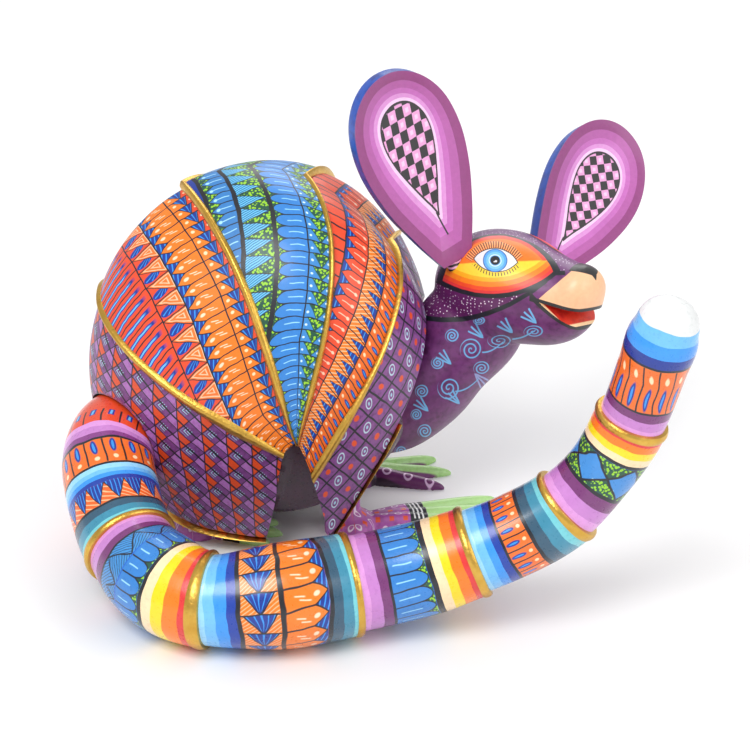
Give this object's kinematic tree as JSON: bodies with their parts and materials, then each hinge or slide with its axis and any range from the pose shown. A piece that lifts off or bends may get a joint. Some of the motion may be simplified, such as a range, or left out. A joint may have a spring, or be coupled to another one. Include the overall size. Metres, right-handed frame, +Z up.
{
  "type": "alebrije figure",
  "caption": "Carved and painted wooden armadillo figure with a plated shell, ringed tail curled round its front, two tall ears and clawed feet; ears and tail pull out.",
  "frame": {"origin": "centre of the outline seen from above, at the height of the ground the figure stands on", "axes": "+X towards the head and along the longest side, +Y to the figure's left, +Z up"},
  "size_m": [0.2292, 0.1992, 0.1849],
  "materials": {
    "belly_paint": "smooth dark plum acrylic paint on carved wood",
    "purple_paint": "satin hand-painted acrylic lattice on carved wood",
    "orange_paint": "satin hand-painted acrylic pattern on carved wood",
    "blue_paint": "satin hand-painted acrylic pattern on carved wood",
    "head_paint": "satin hand-painted acrylic face and spirals on carved wood",
    "ear_paint": "satin acrylic bands and a small checker on carved wood",
    "tail_paint": "satin acrylic bands of many colours on carved wood",
    "foot_paint": "satin acrylic fingers with pale green claws on carved wood",
    "gold_leaf": "gold leaf on a raised bead of wood"
  },
  "bodies": {
    "body": {"torso": "belly_paint", "rear_shield": "purple_paint", "rear_orange_plate": "orange_paint", "middle_blue_plate": "blue_paint", "front_orange_plate": "orange_paint", "front_shield": "purple_paint", "gilded_rib_1": "gold_leaf", "gilded_rib_2": "gold_leaf", "gilded_rib_3": "gold_leaf", "gilded_rib_4": "gold_leaf", "rear_shield_rim": "gold_leaf", "front_shield_rims": "gold_leaf", "head": "head_paint", "right_front_foot": "foot_paint", "left_front_foot": "foot_paint", "right_hind_foot": "foot_paint", "left_hind_foot": "foot_paint"},
    "right_ear": {"right_ear": "ear_paint"},
    "left_ear": {"left_ear": "ear_paint"},
    "tail": {"tail": "tail_paint", "tail_gilded_rings": "gold_leaf"}
  },
  "joints": [
    {"name": "right_ear_pull", "type": "slide", "parent": "body", "child": "right_ear", "axis": [-0.3575, -0.0698, 0.9313], "range_m": [0, 0.018]},
    {"name": "left_ear_pull", "type": "slide", "parent": "body", "child": "left_ear", "axis": [0.4557, 0.7547, 0.4719], "range_m": [0, 0.018]},
    {"name": "tail_pull", "type": "slide", "parent": "body", "child": "tail", "axis": [-0.359, -0.9333, 0], "range_m": [0, 0.06]}
  ]
}
